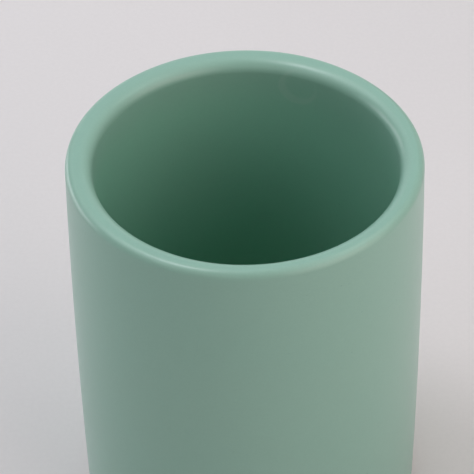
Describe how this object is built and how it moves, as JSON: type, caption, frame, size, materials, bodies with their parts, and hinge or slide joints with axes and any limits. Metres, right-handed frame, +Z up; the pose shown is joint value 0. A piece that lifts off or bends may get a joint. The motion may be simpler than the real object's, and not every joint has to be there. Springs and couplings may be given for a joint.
{
  "type": "desk brush pot",
  "caption": "Plain round stoneware pot with a thick wall and a soft rounded rim, open at the top, which stands on small silicone pads and holds brushes or pens upright.",
  "frame": {"origin": "on the surface that the pot stands on, below the centre of the pot", "axes": "+Z up along the pot's axis, -Y is the front, +X is the pot's right seen from the front"},
  "size_m": [0.08, 0.08, 0.1],
  "materials": {
    "mint_glaze": "satin matte celadon glaze on stoneware",
    "silicone": "frosted translucent silicone"
  },
  "bodies": {
    "root": {"pot_body": "mint_glaze", "foot_pad_front_left": "silicone", "foot_pad_front_right": "silicone", "foot_pad_back_left": "silicone", "foot_pad_back_right": "silicone"}
  },
  "joints": []
}
